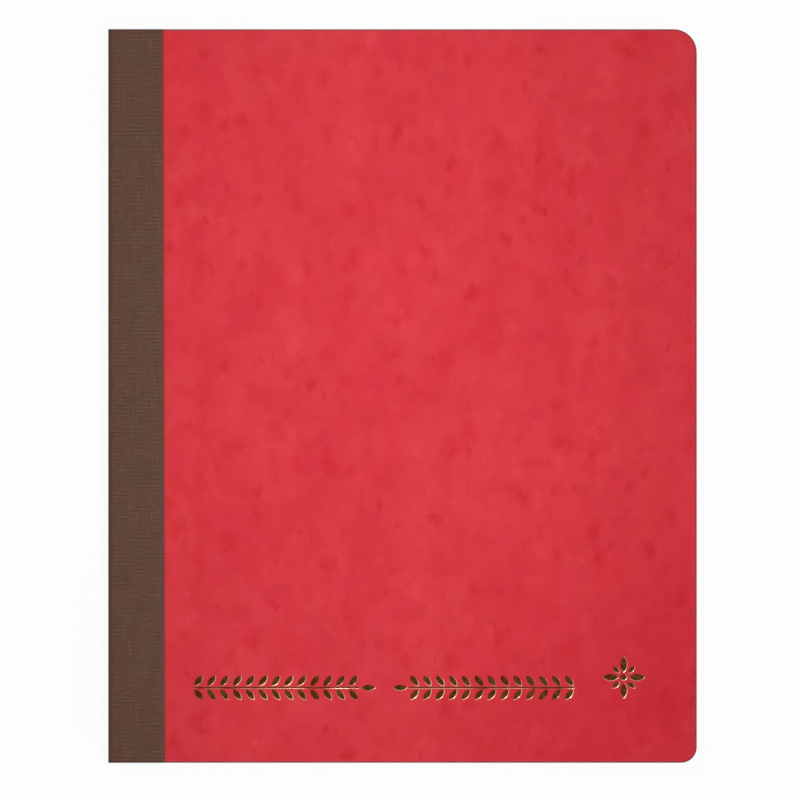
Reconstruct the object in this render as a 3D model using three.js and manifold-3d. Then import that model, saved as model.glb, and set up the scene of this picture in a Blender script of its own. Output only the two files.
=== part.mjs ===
// Cash book: a quarter-bound account book of sewn sections between flush-trimmed pressboard covers.
// Millimetres. +X runs from the spine to the fore-edge, +Y from the tail to the head and +Z out of
// the front cover. The closed book lies on its back cover. The origin is under the middle of the
// book, on the surface that it lies on.

import * as THREE from 'three';
import { mergeVertices } from 'three/addons/utils/BufferGeometryUtils.js';
import Module from 'manifold-3d';

const wasm = await Module();
wasm.setup();

// Driving dimensions: the trimmed book
const bookHeight = 270;
const bookWidth = 216.6;
const headCornerRadius = 8.5;
const tailCornerRadius = 5.7;
const cornerSegments = 8;

// Driving dimensions: covers and endpapers
const boardThickness = 0.6;
const boardInset = 0.6; // spine face to the board's spine edge
const endpaperThickness = 0.1;
const glueLine = 0.02; // between surfaces that are pasted together

// Driving dimensions: the cloth strip, pressed a little way into the boards
const clothThickness = 0.22;
const clothSink = 0.16;
const clothReach = 20.4; // spine face to the strip's edge on each cover
const clothEdgeClearance = 0.05;
const clothFoldClearance = 0.08; // between the strip on the spine and its flap on a cover
const clothFoldRadius = 0.2;
const clothFoldSegments = 4;

// Driving dimensions: leaves, folded in sheets and gathered in sections
const sectionCount = 5;
const sheetsPerSection = 4;
const leafThickness = 0.1;
const leafGap = 0.04;
const foldDepth = 3.05; // how far the sewn folds reach from their backs
const foldNip = 0.28; // depth over which the nested folds are pressed into one
const foldToLeafGap = 0.1;
const foldArcSegments = 10;

// Driving dimensions: sewing and spine lining
const threadDiameter = 0.24;
const threadClearance = 0.04;
const threadSides = 6;
const spineGlue = 0.03; // between the layers on the spine
const mullThickness = 0.2;
const mullInset = 10; // head and tail of the book to the lining's ends
const kettleInset = 15; // head and tail of the book to the outermost stitch holes
const stitchPairSpacing = 70;
const stitchPairWidth = 14;
const threadEnd = 6; // loose ends of the thread along the spine

const cutOverrun = 1; // how far a cutting solid runs past what it cuts

// Derived heights, from the back cover up
const leafPitch = leafThickness + leafGap;
const leavesPerSection = 2 * sheetsPerSection;
const leafCount = sectionCount * leavesPerSection;
const sectionPitch = leavesPerSection * leafPitch;
const sectionHeight = sectionPitch - leafGap;
const clothProud = clothThickness - clothSink;
const backBoardZ = clothProud;
const backPastedownZ = backBoardZ + boardThickness + glueLine;
const backFlyleafZ = backPastedownZ + endpaperThickness + leafGap;
const firstLeafZ = backFlyleafZ + endpaperThickness + leafGap;
const frontFlyleafZ = firstLeafZ + leafCount * leafPitch;
const frontPastedownZ = frontFlyleafZ + endpaperThickness + leafGap;
const frontBoardZ = frontPastedownZ + endpaperThickness + glueLine;
const bookThickness = frontBoardZ + boardThickness + clothProud;
const lastLeafTop = frontFlyleafZ - leafGap;

// Derived distances from the spine face
const mullStart = clothThickness + spineGlue;
const outerStitch = mullStart + mullThickness + spineGlue + threadDiameter / 2;
const foldBack = outerStitch + threadDiameter / 2 + spineGlue;
const pocketStart = foldBack + sheetsPerSection * leafThickness;
const pocketSize = threadDiameter + 2 * threadClearance;
const pocketEnd = pocketStart + pocketSize;
const innerStitch = pocketStart + pocketSize / 2;
const foldEnd = foldBack + foldDepth;
const leafStart = foldEnd + foldToLeafGap;

// Derived places along the spine, from the tail to the head
const kettleY = bookHeight / 2 - kettleInset;
const stitchHoles = [
  -kettleY,
  ...[-1, 0, 1].flatMap((pair) => [
    pair * stitchPairSpacing - stitchPairWidth / 2,
    pair * stitchPairSpacing + stitchPairWidth / 2,
  ]),
  kettleY,
];

const materials = {
  board: { color: '#d73a43', roughness: 0.42, metalness: 0 },
  cloth: { color: '#61453c', roughness: 0.9, metalness: 0 },
  endpaper: { color: '#f1ece0', roughness: 0.85, metalness: 0 },
  leaf: { color: '#f4f0e2', roughness: 0.85, metalness: 0 },
  mull: { color: '#e9e4d6', roughness: 0.95, metalness: 0 },
  thread: { color: '#f6f3ea', roughness: 0.8, metalness: 0 },
};

const atSpine = (distance) => distance - bookWidth / 2;

function part(name, geometry, look) {
  const mesh = new THREE.Mesh(geometry, new THREE.MeshStandardMaterial(materials[look]));
  mesh.name = name;
  return mesh;
}

function solidOf(geometry) {
  const bare = geometry.clone();
  bare.deleteAttribute('normal');
  bare.deleteAttribute('uv');
  const merged = mergeVertices(bare, 1e-5);
  return new wasm.Manifold(new wasm.Mesh({
    numProp: 3,
    vertProperties: new Float32Array(merged.attributes.position.array),
    triVerts: new Uint32Array(merged.index.array),
  }));
}

function geometryOf(solid) {
  const mesh = solid.getMesh();
  const geometry = new THREE.BufferGeometry();
  geometry.setAttribute('position', new THREE.BufferAttribute(mesh.vertProperties, mesh.numProp));
  geometry.setIndex(new THREE.BufferAttribute(mesh.triVerts, 1));
  geometry.computeVertexNormals();
  return geometry;
}

// A flat sheet from a distance off the spine to the fore-edge, where its two corners are rounded
function sheetGeometry(start, thickness) {
  const spineX = atSpine(start);
  const foreX = bookWidth / 2;
  const headY = bookHeight / 2;
  const tailY = -headY;
  const headCornerX = foreX - headCornerRadius;
  const tailCornerX = foreX - tailCornerRadius;
  const shape = new THREE.Shape();
  shape.moveTo(spineX, tailY);
  shape.lineTo(tailCornerX, tailY);
  shape.absarc(tailCornerX, tailY + tailCornerRadius, tailCornerRadius, -Math.PI / 2, 0, false);
  shape.lineTo(foreX, headY - headCornerRadius);
  shape.absarc(headCornerX, headY - headCornerRadius, headCornerRadius, 0, Math.PI / 2, false);
  shape.lineTo(spineX, headY);
  shape.closePath();
  return new THREE.ExtrudeGeometry(shape, {
    depth: thickness,
    bevelEnabled: false,
    curveSegments: cornerSegments,
  });
}

// A profile drawn across the spine, in X and Z, and drawn out along Y
function alongSpine(profile, length, curveSegments) {
  const geometry = new THREE.ExtrudeGeometry(profile, {
    depth: length,
    bevelEnabled: false,
    curveSegments,
  });
  geometry.rotateX(Math.PI / 2);
  geometry.translate(0, length / 2, 0);
  return geometry;
}

function boxBetween(low, high) {
  const size = high.clone().sub(low);
  const middle = low.clone().add(high).multiplyScalar(0.5);
  return new THREE.BoxGeometry(size.x, size.y, size.z).translate(middle.x, middle.y, middle.z);
}

// A pressboard cover with the shallow seat that the cloth strip is pressed into, on its outer face
function boardGeometry(isFront) {
  const seatDepth = clothSink + glueLine;
  const seatBottom = isFront ? boardThickness - seatDepth : -cutOverrun;
  const seatTop = isFront ? boardThickness + cutOverrun : seatDepth;
  const endY = bookHeight / 2 + cutOverrun;
  const seat = boxBetween(
    new THREE.Vector3(atSpine(-cutOverrun), -endY, seatBottom),
    new THREE.Vector3(atSpine(clothReach + clothEdgeClearance), endY, seatTop),
  );
  return geometryOf(solidOf(sheetGeometry(boardInset, boardThickness)).subtract(solidOf(seat)));
}

function clothFlapGeometry() {
  const start = clothThickness + clothFoldClearance;
  const low = new THREE.Vector3(atSpine(start), -bookHeight / 2, 0);
  const high = new THREE.Vector3(atSpine(clothReach), bookHeight / 2, clothThickness);
  return boxBetween(low, high);
}

// The strip where it crosses the spine, rounded where it turns onto the covers
function clothSpineGeometry() {
  const outerX = atSpine(0);
  const innerX = atSpine(clothThickness);
  const profile = new THREE.Shape();
  profile.moveTo(innerX, 0);
  profile.lineTo(innerX, bookThickness);
  profile.lineTo(outerX + clothFoldRadius, bookThickness);
  profile.absarc(
    outerX + clothFoldRadius,
    bookThickness - clothFoldRadius,
    clothFoldRadius,
    Math.PI / 2,
    Math.PI,
    false,
  );
  profile.lineTo(outerX, clothFoldRadius);
  profile.absarc(
    outerX + clothFoldRadius,
    clothFoldRadius,
    clothFoldRadius,
    Math.PI,
    1.5 * Math.PI,
    false,
  );
  profile.closePath();
  return alongSpine(profile, bookHeight, clothFoldSegments);
}

function mullGeometry() {
  const endY = bookHeight / 2 - mullInset;
  const low = new THREE.Vector3(atSpine(mullStart), -endY, firstLeafZ);
  const high = new THREE.Vector3(atSpine(mullStart + mullThickness), endY, lastLeafTop);
  return boxBetween(low, high);
}

// The nested folds of one section: a rounded back, a comb of leaf stubs and a pocket for the
// thread, open between the two innermost stubs, as a section shows when it is opened at its middle
function foldProfile() {
  const backRadius = sectionHeight / 2;
  const endX = atSpine(foldEnd);
  const profile = new THREE.Shape();
  profile.moveTo(endX, sectionHeight);
  profile.lineTo(atSpine(foldBack + backRadius), sectionHeight);
  profile.absarc(
    atSpine(foldBack + backRadius),
    backRadius,
    backRadius,
    Math.PI / 2,
    1.5 * Math.PI,
    false,
  );
  profile.lineTo(endX, 0);
  for (let stub = 0; stub < leavesPerSection - 1; stub += 1) {
    const slotLow = stub * leafPitch + leafThickness;
    const slotHigh = slotLow + leafGap;
    const fromMiddle = Math.abs(stub + 1 - sheetsPerSection);
    profile.lineTo(endX, slotLow);
    if (fromMiddle === 0) {
      profile.lineTo(atSpine(pocketEnd), slotLow);
      profile.lineTo(atSpine(pocketEnd), backRadius - pocketSize / 2);
      profile.lineTo(atSpine(pocketStart), backRadius - pocketSize / 2);
      profile.lineTo(atSpine(pocketStart), backRadius + pocketSize / 2);
      profile.lineTo(atSpine(pocketEnd), backRadius + pocketSize / 2);
      profile.lineTo(atSpine(pocketEnd), slotHigh);
    } else {
      const slotStart = pocketEnd + foldNip - (fromMiddle - 1) * leafThickness;
      profile.lineTo(atSpine(slotStart), slotLow);
      profile.lineTo(atSpine(slotStart), slotHigh);
    }
    profile.lineTo(endX, slotHigh);
  }
  profile.closePath();
  return profile;
}

// A straight stretch of thread or the bore of a stitch hole, between two points on its middle line
function rod(from, to, radius, overrun) {
  const along = to.clone().sub(from);
  const length = along.length() + 2 * overrun;
  const middle = from.clone().add(to).multiplyScalar(0.5);
  const geometry = new THREE.CylinderGeometry(radius, radius, length, threadSides);
  geometry.applyQuaternion(
    new THREE.Quaternion().setFromUnitVectors(new THREE.Vector3(0, 1, 0), along.normalize()),
  );
  geometry.translate(middle.x, middle.y, middle.z);
  return solidOf(geometry);
}

function foldGeometry() {
  const holeRadius = threadDiameter / 2 + threadClearance;
  let fold = solidOf(alongSpine(foldProfile(), bookHeight, foldArcSegments));
  for (const y of stitchHoles) {
    const outside = new THREE.Vector3(atSpine(mullStart), y, sectionHeight / 2);
    const inside = new THREE.Vector3(atSpine(innerStitch), y, sectionHeight / 2);
    fold = fold.subtract(rod(outside, inside, holeRadius, 0));
  }
  return geometryOf(fold);
}

// One thread sews all the sections: it runs inside a fold from hole to hole, passes out at every
// second hole, and at the end climbs to the next section and comes back the other way
function threadPoints() {
  const points = [];
  for (let section = 0; section < sectionCount; section += 1) {
    const z = firstLeafZ + section * sectionPitch + sectionHeight / 2;
    const holes = section % 2 === 0 ? stitchHoles : [...stitchHoles].reverse();
    holes.forEach((y, index) => {
      const goesIn = index % 2 === 0;
      const outside = new THREE.Vector3(atSpine(outerStitch), y, z);
      const inside = new THREE.Vector3(atSpine(innerStitch), y, z);
      points.push(...(goesIn ? [outside, inside] : [inside, outside]));
    });
  }
  const first = points[0].clone();
  const last = points[points.length - 1].clone();
  first.y -= threadEnd * Math.sign(first.y);
  last.y -= threadEnd * Math.sign(last.y);
  return [first, ...points, last];
}

function threadGeometry() {
  const points = threadPoints();
  const radius = threadDiameter / 2;
  let thread = rod(points[0], points[1], radius, radius);
  for (let index = 1; index < points.length - 1; index += 1) {
    thread = thread.add(rod(points[index], points[index + 1], radius, radius));
  }
  return geometryOf(thread);
}

function cover(side) {
  const isFront = side === 'front';
  const group = new THREE.Group();
  const board = part(`${side}_board`, boardGeometry(isFront), 'board');
  board.position.z = isFront ? frontBoardZ : backBoardZ;
  const flap = part(`cloth_${side}_flap`, clothFlapGeometry(), 'cloth');
  flap.position.z = isFront ? bookThickness - clothThickness : 0;
  const pastedown = part(`${side}_pastedown`, sheetGeometry(foldBack, endpaperThickness), 'endpaper');
  pastedown.position.z = isFront ? frontPastedownZ : backPastedownZ;
  group.add(board, flap, pastedown);
  return group;
}

function spine() {
  const group = new THREE.Group();
  group.add(part('cloth_spine', clothSpineGeometry(), 'cloth'));
  group.add(part('spine_mull', mullGeometry(), 'mull'));
  for (let section = 0; section < sectionCount; section += 1) {
    const fold = part(`section_${sectionCount - section}_fold`, foldGeometry(), 'leaf');
    fold.position.z = firstLeafZ + section * sectionPitch;
    group.add(fold);
  }
  group.add(part('sewing_thread', threadGeometry(), 'thread'));
  return group;
}

// Leaf 1 lies under the front cover and the last leaf on the back cover
function leaves() {
  const group = new THREE.Group();
  for (let number = 1; number <= leafCount; number += 1) {
    const name = `leaf_${String(number).padStart(2, '0')}`;
    const leaf = part(name, sheetGeometry(leafStart, leafThickness), 'leaf');
    leaf.position.z = firstLeafZ + (leafCount - number) * leafPitch;
    group.add(leaf);
  }
  const frontFlyleaf = part('front_flyleaf', sheetGeometry(leafStart, endpaperThickness), 'endpaper');
  frontFlyleaf.position.z = frontFlyleafZ;
  const backFlyleaf = part('back_flyleaf', sheetGeometry(leafStart, endpaperThickness), 'endpaper');
  backFlyleaf.position.z = backFlyleafZ;
  group.add(frontFlyleaf, backFlyleaf);
  return group;
}

const book = new THREE.Group();
book.add(cover('back'), leaves(), spine(), cover('front'));

export default book;
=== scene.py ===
"""Cash book: the looks of its pieces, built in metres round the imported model."""

import math
import random

import bmesh
import bpy
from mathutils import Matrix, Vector, noise
from mathutils.geometry import delaunay_2d_cdt


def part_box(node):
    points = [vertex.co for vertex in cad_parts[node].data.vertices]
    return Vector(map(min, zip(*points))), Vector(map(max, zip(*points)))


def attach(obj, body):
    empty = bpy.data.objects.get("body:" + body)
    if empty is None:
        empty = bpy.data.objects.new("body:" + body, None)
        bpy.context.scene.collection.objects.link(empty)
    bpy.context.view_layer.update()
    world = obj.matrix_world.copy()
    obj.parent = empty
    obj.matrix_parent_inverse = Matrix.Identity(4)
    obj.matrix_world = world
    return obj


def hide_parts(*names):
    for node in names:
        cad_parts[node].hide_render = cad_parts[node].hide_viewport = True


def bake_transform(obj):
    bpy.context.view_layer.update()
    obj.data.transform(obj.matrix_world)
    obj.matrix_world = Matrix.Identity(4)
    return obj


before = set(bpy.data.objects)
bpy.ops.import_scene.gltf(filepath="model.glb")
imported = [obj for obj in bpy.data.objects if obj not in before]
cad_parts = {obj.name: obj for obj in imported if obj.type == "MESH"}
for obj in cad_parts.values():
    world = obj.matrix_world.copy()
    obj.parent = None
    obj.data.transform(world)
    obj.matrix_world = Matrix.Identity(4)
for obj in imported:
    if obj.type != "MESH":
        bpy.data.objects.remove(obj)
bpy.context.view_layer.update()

MM = 0.001

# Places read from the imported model
SPINE_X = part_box("cloth_spine")[0].x
TOP_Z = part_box("cloth_spine")[1].z
CLOTH_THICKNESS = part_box("cloth_front_flap")[1].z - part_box("cloth_front_flap")[0].z
CLOTH_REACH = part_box("cloth_front_flap")[1].x - SPINE_X
BOARD_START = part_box("front_board")[0].x - SPINE_X
FORE_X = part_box("front_board")[1].x
HALF_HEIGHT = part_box("front_board")[1].y
BOARD_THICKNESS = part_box("front_board")[1].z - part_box("front_board")[0].z
SHEET_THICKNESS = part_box("leaf_01")[1].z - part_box("leaf_01")[0].z
FOLD_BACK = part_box("section_1_fold")[0].x - SPINE_X

# Sizes of leaves and sections
LEAVES_PER_SECTION = 8
SHEETS_PER_SECTION = LEAVES_PER_SECTION // 2
LEAF_COUNT = 40
FRONT_LEAVES = range(1, 17)
FAN_LEAVES = range(17, 25)
HEAD_CORNER_RADIUS = 8.5 * MM
TAIL_CORNER_RADIUS = 5.7 * MM
CORNER_STEPS = 10
SHEET_FIT = 0.96  # share of a sheet's thickness that is drawn, so that nested folds stay apart
LEAF_DRAWN = 0.13 * MM  # out of the fold a leaf takes up most of the air beside it
THREAD_WRAP = 0.13 * MM  # inside radius of the innermost fold, round the thread
WRAP_CENTRE = 0.56 * MM  # fold backs to the thread inside the fold
WRAP_STEPS = 6
FLAT_LEAF_STEPS = 3
NIP_LENGTH = 1.1 * MM  # over which the folds open out to the leaves' pitch
NIP_STEPS = 5
BEND_START = 1.2 * MM  # distances from the spine between which an open leaf bends
BEND_END = 14 * MM
BEND_STEPS = 22
TRIM_SCATTER = 0.05 * MM

# Sizes of the cloth strip
CLOTH_CORNER = 0.35 * MM
CLOTH_CORNER_STEPS = 6
CLOTH_EDGE_SLANT = 0.3 * MM  # the strip is this much wider at the tail and narrower at the head
CLOTH_EDGE_WOBBLE = 0.05 * MM
CLOTH_EDGE_ROUND = 0.06 * MM
CLOTH_WOBBLE_SIZE = 9 * MM
CLOTH_FRAY_SIZE = 2.2 * MM
CLOTH_ROWS = 135
FLAT_STEPS = 8
SPINE_STEPS = 4
FLAP_BEND_END = 0.7 * MM
FLAP_BEND_STEPS = 6

# Boards and their pressboard
SEAT_DEPTH = 0.18 * MM
SEAT_CLEARANCE = 0.02 * MM
BOARD_FACE_ROUND = 0.2 * MM
BOARD_BACK_ROUND = 0.08 * MM
FLAT_RING = 0.3 * MM  # inside a board's round, so that the wide face beyond it shades flat
ROUND_STEPS = 4
BOARD_GRAIN = (1.0, 0.78, 1.0)  # draws the mottling out along the book's height
BROAD_GRAIN = (1.0, 0.6, 1.0)
FIBRE_GRAIN = (1.0, 0.5, 1.0)
BOARD_WAVERS = ((6 * MM, 6 * MM), (2.2 * MM, 2.9 * MM))  # size and reach of what makes the mottling uneven
TAIL_SHADE_REACH = 128 * MM  # how far from its fore-edge tail corner the cover carries painted shade, deepest at the corner
HEAD_SHADE_REACH = 80 * MM  # the same from the head of the spine
AROUND_CORE = 0.15  # share of such a reach over which the tint is full

# Threads of the book cloth, the gauze and the sewing
THREAD_PITCH = 0.48 * MM
THREAD_DIP = 0.4
THREAD_NOISE_STEP = 7.31  # sets each thread's noise apart from its neighbour's
RIB_THREADS = 3
GAUZE_PITCH = 1.0 * MM
PLY_PITCH = 0.24 * MM

# Ruling of the leaves
RULE_PITCH = 8 * MM
HEADER_Y = HALF_HEIGHT - 26 * MM
LAST_RULE_Y = -HALF_HEIGHT + 14 * MM
HEADINGS = [HEADER_Y, HEADER_Y + 1 * MM, HEADER_Y + 12 * MM]
COLUMNS = [at * MM for at in (22, 36, 128, 149, 157, 178, 186, 207)]
COLUMN_WIDTH = 0.3 * MM

# Colours, as hex digits, and shades that multiply a colour
BOARD_HUES = ("d42f3d", "d32f36")
BOARD_CLOUD = "d6363f"
BOARD_SMUDGE = "cd2b36"
BOARD_PALE_DAB = "e44650"
BOARD_DARK_DAB = "c7121e"
BOARD_DARK_CORE = "bf0d19"
BOARD_FIBRE = "ba0e1a"
BOARD_FLECK = "ea6a72"
BOARD_BESIDE_STRIP = "6f3733"
BOARD_WORN = "e2606a"
# the board's darker cut edge, and painted shade on its face along the head, fore and tail edges
BOARD_EDGE_AND_PAINTED_SHADE = "5f2e2e"
BROAD_SHADES = ((0.976, 0.945, 0.98, 1.0), (1.024, 1.125, 1.075, 1.0))
TAIL_CORNER_SHADE = (0.95, 0.67, 0.82, 1.0)
HEAD_CORNER_SHADE = (1.0, 0.82, 0.87, 1.0)
CLOTH_HUES = ("67453c", "62483b")
CLOTH_RIB = "775b50"
CLOTH_FURROW = "4e3329"
CLOTH_PALE_THREAD = "826559"
CLOTH_DARK_THREAD = "4c3026"
CLOTH_GAP = "3f2e26"
# painted shade on the cloth at its turn round the spine and at its head and tail ends
CLOTH_PAINTED_SHADE = "33291f"
CLOTH_EDGE = "7c3c36"
LEDGER_PAPER = "f6f1e3"
ENDPAPER = "f3eee2"
PAPER_FIBRE = "d9cfb4"
PAPER_MOTTLE = "efe3c4"
PAPER_TRIMMED = "f3e8d0"
RULE_BLUE = "9db6cf"
COLUMN_RED = "c86a68"
GAUZE_THREAD = "efeadb"
GAUZE_GLUE = "b9a887"
LINEN_FURROW = "c9bda0"
LINEN_CREST = "f3eedf"
FOIL_HUES = ("4c260d", "68391a")
FOIL_AT_A_SLANT = "b08a5e"
# painted glint of pale gold on the foil's sloping rims
FOIL_PAINTED_GLINT = "eccba4"

# Endpaper folds, beside the spine
ENDPAPER_FOLD_OUT = 0.35 * MM
ENDPAPER_FOLD_STEPS = 10

# Foil ornament, in distances from the spine edge and the tail edge
SPRIG_MIDDLE = 27.6 * MM
SPRIGS = ((31.5 * MM, 98.5 * MM), (171.5 * MM, 104.8 * MM))  # where each stem starts and its tip ends
STEM_WIDTH = 0.62 * MM
PETAL_LENGTH = 5.0 * MM
PETAL_WIDTH = 2.3 * MM
PETAL_PITCH = 4.75 * MM
PETAL_ANGLE = math.radians(52)
PETAL_GAP = 0.26 * MM
TIP_LENGTH = 5.4 * MM
ROSETTE_CENTRE = (189.8 * MM, 31.4 * MM)
ROSETTE_RADIUS = 7.8 * MM
ROSETTE_EYE = 1.25 * MM
LONG_PETALS = (0.55 * MM, 1.0, 2.7 * MM)  # gap to the eye, share of the radius that they reach, and width
SHORT_PETALS = (0.9 * MM, 0.74, 1.8 * MM)
FOIL_RIM = 0.18 * MM  # width of the sloping rim, as if the foil were struck square
FOIL_LEAN = (-0.11 * MM, 0.11 * MM)  # moves the sunk face, so that its lower right rim, where the painted glint shows most, is the widest
FOIL_RIM_DROP = 0.12 * MM
FOIL_RIM_STEPS = 4
FOIL_DEPTH = 0.17 * MM
RECESS_DEPTH = 0.18 * MM
RECESS_CLEARANCE = 0.01 * MM
ARC_STEPS = 8

# Sizes and strengths in the studio
FLOOR_Z = -1.0 * MM
FLOOR_SIZE = 12.0
WORLD_STRENGTH = 0.29
OVERHEAD_PLACE = (-0.005, 0.018, 0.26)
OVERHEAD_SIZE = (0.06, 0.35)
OVERHEAD_POWER = 0.4
KEY_PLACE = (-0.75, 0.62, 1.15)
KEY_SIZE = 0.2
KEY_POWER = 3.8
FILL_PLACE = (3.5, -3.1, 1.8)
FILL_SIZE = 1.0
FILL_POWER = 90.0
FLOOR_ALBEDO = 0.95
FLOOR_WHITENESS = 0.93  # share of plain white that the camera and reflections see in the floor
FRAME_WIDTH = 294.4 * MM  # what the camera sees across at the height of the front cover
CAMERA_LENS = 135.0
CAMERA_SENSOR = 36.0
CAMERA_OFFSET = (-0.92 * MM, -1.47 * MM)
CAMERA_CLIP = 50  # times nearer and farther than the cover that the camera sees

# Limits in making meshes
TRIANGLE_SCALE = 1000.0  # triangles are found in millimetres, because the tolerance suits them
TRIANGLE_TOLERANCE = 1e-7
SHARP_ANGLE = math.radians(40)


def srgb(code):
    """A colour written as six hex digits, as linear red, green, blue and alpha."""
    parts = [int(code[i:i + 2], 16) / 255 for i in (0, 2, 4)]
    linear = [p / 12.92 if p <= 0.04045 else ((p + 0.055) / 1.055) ** 2.4 for p in parts]
    return (*linear, 1.0)


# Shader nodes

def add(tree, kind, inputs=None, **settings):
    node = tree.nodes.new("ShaderNode" + kind)
    for name, value in settings.items():
        setattr(node, name, value)
    for key, value in (inputs or {}).items():
        fill(tree, node.inputs[key], value)
    return node


def fill(tree, socket, value):
    """Links a socket to another's output, or gives it a value."""
    if isinstance(value, bpy.types.NodeSocket):
        tree.links.new(value, socket)
    else:
        socket.default_value = value


def calc(tree, operation, *values):
    return add(tree, "Math", dict(enumerate(values)), operation=operation).outputs[0]


def fade(tree, value, low, high):
    """0 where the value is at low, 1 where it is at high, and a smooth step between."""
    inputs = {"Value": value, "From Min": low, "From Max": high}
    return add(tree, "MapRange", inputs, interpolation_type="SMOOTHSTEP").outputs[0]


def spread(tree, value, low, high):
    """A share from 0 to 1 as a number from low to high."""
    return add(tree, "MapRange", {"Value": value, "To Min": low, "To Max": high}).outputs[0]


def mix(tree, factor, first, second, blend="MIX"):
    """One colour over another. The node's sockets share their names, so they go by number."""
    sockets = {0: factor, 6: first, 7: second}
    node = add(tree, "Mix", data_type="RGBA", blend_type=blend)
    for index, value in sockets.items():
        fill(tree, node.inputs[index], value)
    return node.outputs[2]


def tint(tree, colour, amount, share, code):
    """A colour with another laid over it where the amount is 1, at a share of its strength."""
    return mix(tree, calc(tree, "MULTIPLY", amount, share), colour, srgb(code))


def cloud(tree, place, size, detail=2.0, roughness=0.5):
    """Noise whose largest features have a size in metres, from 0 to 1 and mostly near 0.5."""
    inputs = {"Vector": place, "Scale": 1 / size, "Detail": detail, "Roughness": roughness}
    return add(tree, "TexNoise", inputs).outputs[0]


def stretched(tree, place, factors):
    return add(tree, "VectorMath", {0: place, 1: factors}, operation="MULTIPLY").outputs[0]


def shifted(tree, place, offset):
    return add(tree, "VectorMath", {0: place, 1: offset}, operation="ADD").outputs[0]


def wavered(tree, place, size, reach):
    """A place pushed about by noise, so that round spots drawn with it become uneven."""
    push = add(tree, "TexNoise", {"Vector": place, "Scale": 1 / size}).outputs["Color"]
    centred = shifted(tree, push, (-0.5, -0.5, -0.5))
    scaled = add(tree, "VectorMath", {0: centred, "Scale": reach}, operation="SCALE").outputs[0]
    return shifted(tree, place, scaled)


def dabs(tree, place, spacing, reach, rarity):
    """Soft spots of uneven strength, one to a cell; with a higher rarity fewer of them are strong."""
    cells = add(tree, "TexVoronoi", {"Vector": place, "Scale": 1 / spacing})
    spot = fade(tree, cells.outputs["Distance"], reach / spacing, 0.0)
    chance = add(tree, "SeparateColor", {0: cells.outputs["Color"]}).outputs[0]
    return calc(tree, "MULTIPLY", spot, calc(tree, "POWER", chance, rarity))


def near(tree, distance, reach):
    """1 at a line and 0 beyond a reach from it, falling off with the square of the share left."""
    share = calc(tree, "SUBTRACT", 1.0, calc(tree, "DIVIDE", calc(tree, "ABSOLUTE", distance), reach))
    return calc(tree, "POWER", calc(tree, "MAXIMUM", share, 0.0), 2.0)


def around(tree, place, centre, reach):
    """1 near a point and 0 beyond a reach from it, with a smooth step between."""
    level = stretched(tree, place, (1, 1, 0))
    away = add(tree, "VectorMath", {0: level, 1: (*centre, 0)}, operation="DISTANCE")
    return fade(tree, away.outputs["Value"], reach, AROUND_CORE * reach)


def across_and_up(tree, place):
    split = add(tree, "SeparateXYZ", {0: place})
    return split.outputs[0], split.outputs[1]


def object_place(tree):
    return add(tree, "TexCoord").outputs["Object"]


def sheet_place(tree):
    """Where a point lies on its own sheet: across from the spine, and up from the tail to the head."""
    return add(tree, "Attribute", attribute_name="sheet_place").outputs["Vector"]


def raise_surface(tree, shader, height, distance):
    bump = add(tree, "Bump", {"Height": height, "Strength": 1.0, "Distance": distance})
    tree.links.new(bump.outputs[0], shader.inputs["Normal"])


def board_edge_distance(tree, place):
    """Distance from a board's head, fore and tail edges, round its corners, in metres."""
    x, y = across_and_up(tree, place)
    at_head = calc(tree, "GREATER_THAN", y, 0.0)
    more_at_head = calc(tree, "MULTIPLY", at_head, HEAD_CORNER_RADIUS - TAIL_CORNER_RADIUS)
    radius = calc(tree, "ADD", more_at_head, TAIL_CORNER_RADIUS)
    across = calc(tree, "ADD", calc(tree, "SUBTRACT", x, FORE_X), radius)
    up = calc(tree, "ADD", calc(tree, "SUBTRACT", calc(tree, "ABSOLUTE", y), HALF_HEIGHT), radius)
    over = [calc(tree, "POWER", calc(tree, "MAXIMUM", value, 0.0), 2.0) for value in (across, up)]
    round_part = calc(tree, "SQRT", calc(tree, "ADD", *over))
    straight_part = calc(tree, "MINIMUM", calc(tree, "MAXIMUM", across, up), 0.0)
    return calc(tree, "SUBTRACT", radius, calc(tree, "ADD", round_part, straight_part))


def strip_edge(tree, up):
    """Distance from the spine to the slanting edge of the cloth strip, at a height."""
    slant = calc(tree, "MULTIPLY", up, -CLOTH_EDGE_SLANT / HALF_HEIGHT)
    return calc(tree, "ADD", slant, CLOTH_REACH)


# Materials

def new_material(name, roughness, **constants):
    material = bpy.data.materials.new(name)
    material.use_nodes = True
    shader = material.node_tree.nodes["Principled BSDF"]
    shader.inputs["Roughness"].default_value = roughness
    for socket, value in constants.items():
        shader.inputs[socket.replace("_", " ")].default_value = value
    return material, material.node_tree, shader


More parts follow.
